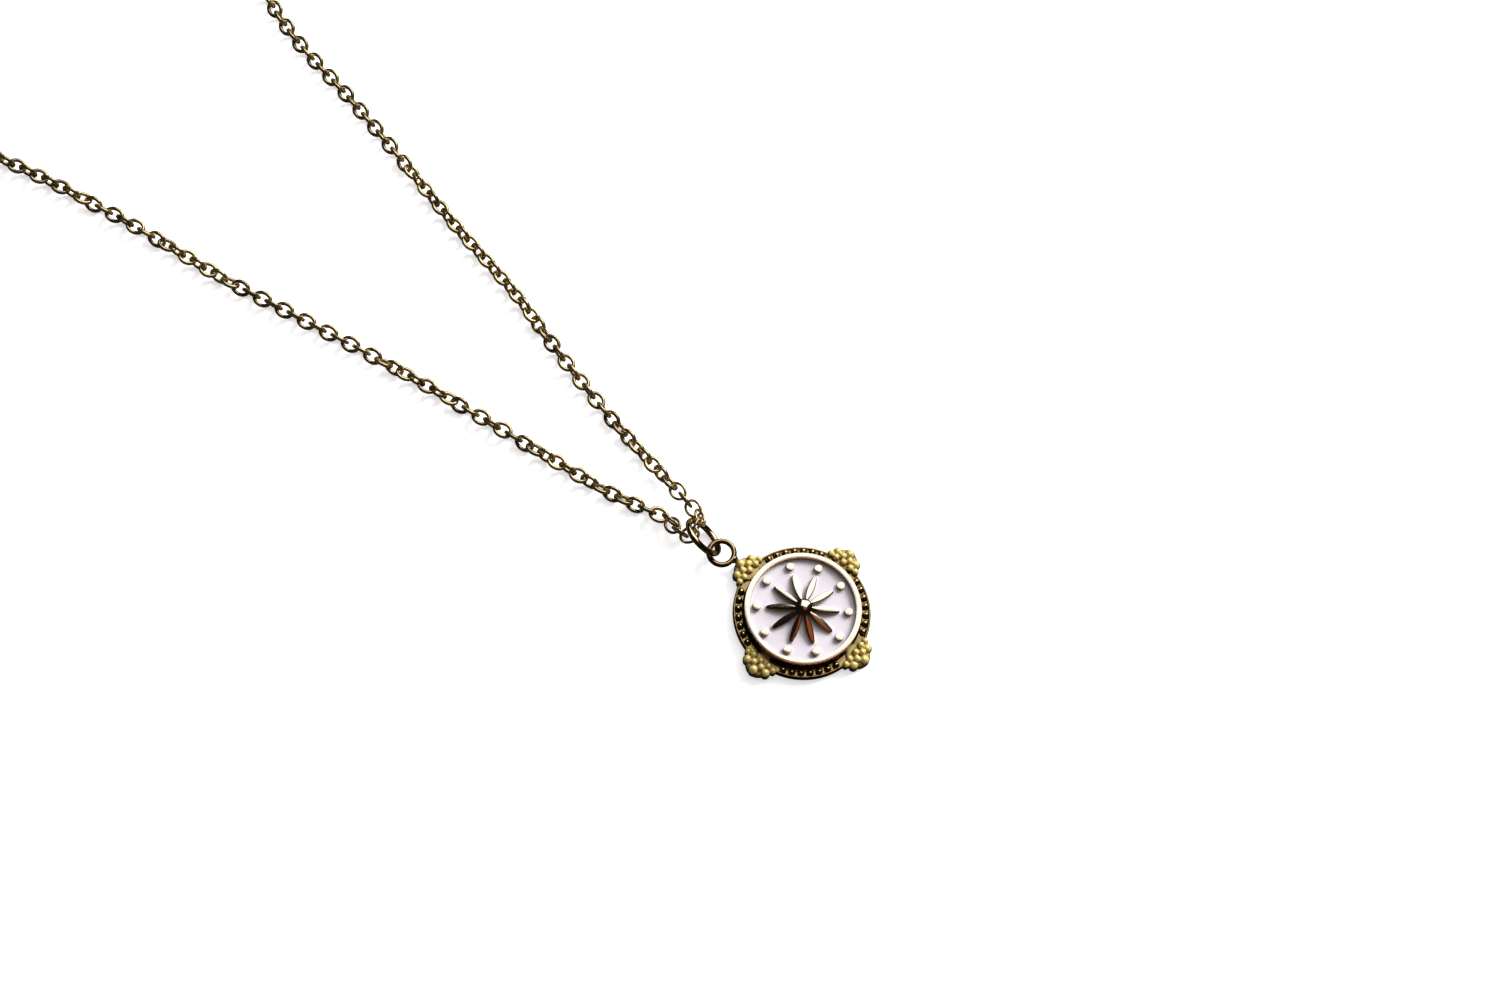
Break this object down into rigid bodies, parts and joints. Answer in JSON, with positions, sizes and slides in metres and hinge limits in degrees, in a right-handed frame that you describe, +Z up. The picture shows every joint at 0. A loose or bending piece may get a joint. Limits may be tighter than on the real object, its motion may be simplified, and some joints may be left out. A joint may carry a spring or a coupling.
{
  "type": "star medallion necklace",
  "caption": "Round enamelled medallion with a raised petal star and beaded rim, hung by a jump ring on a closed loop of fine cable chain with a plain clasp.",
  "frame": {"origin": "centre of the medallion's flat back, on the surface that the necklace lies on", "axes": "+Z up from the surface, +Y from the medallion along the loop to the clasp, +X to the right seen from above"},
  "size_m": [0.0879, 0.2114, 0.0042],
  "materials": {
    "cast_metal": "polished gold plating, darkened in the recesses",
    "enamel": "glossy pale lilac enamel",
    "wire_metal": "polished gold-plated wire",
    "chain_metal": "polished antique gold wire",
    "clasp_metal": "polished gold plating"
  },
  "bodies": {
    "root": {"medallion": "cast_metal", "enamel": "enamel", "jump_ring": "wire_metal", "chain_front": "chain_metal", "chain_back": "chain_metal", "clasp": "clasp_metal"}
  },
  "joints": []
}
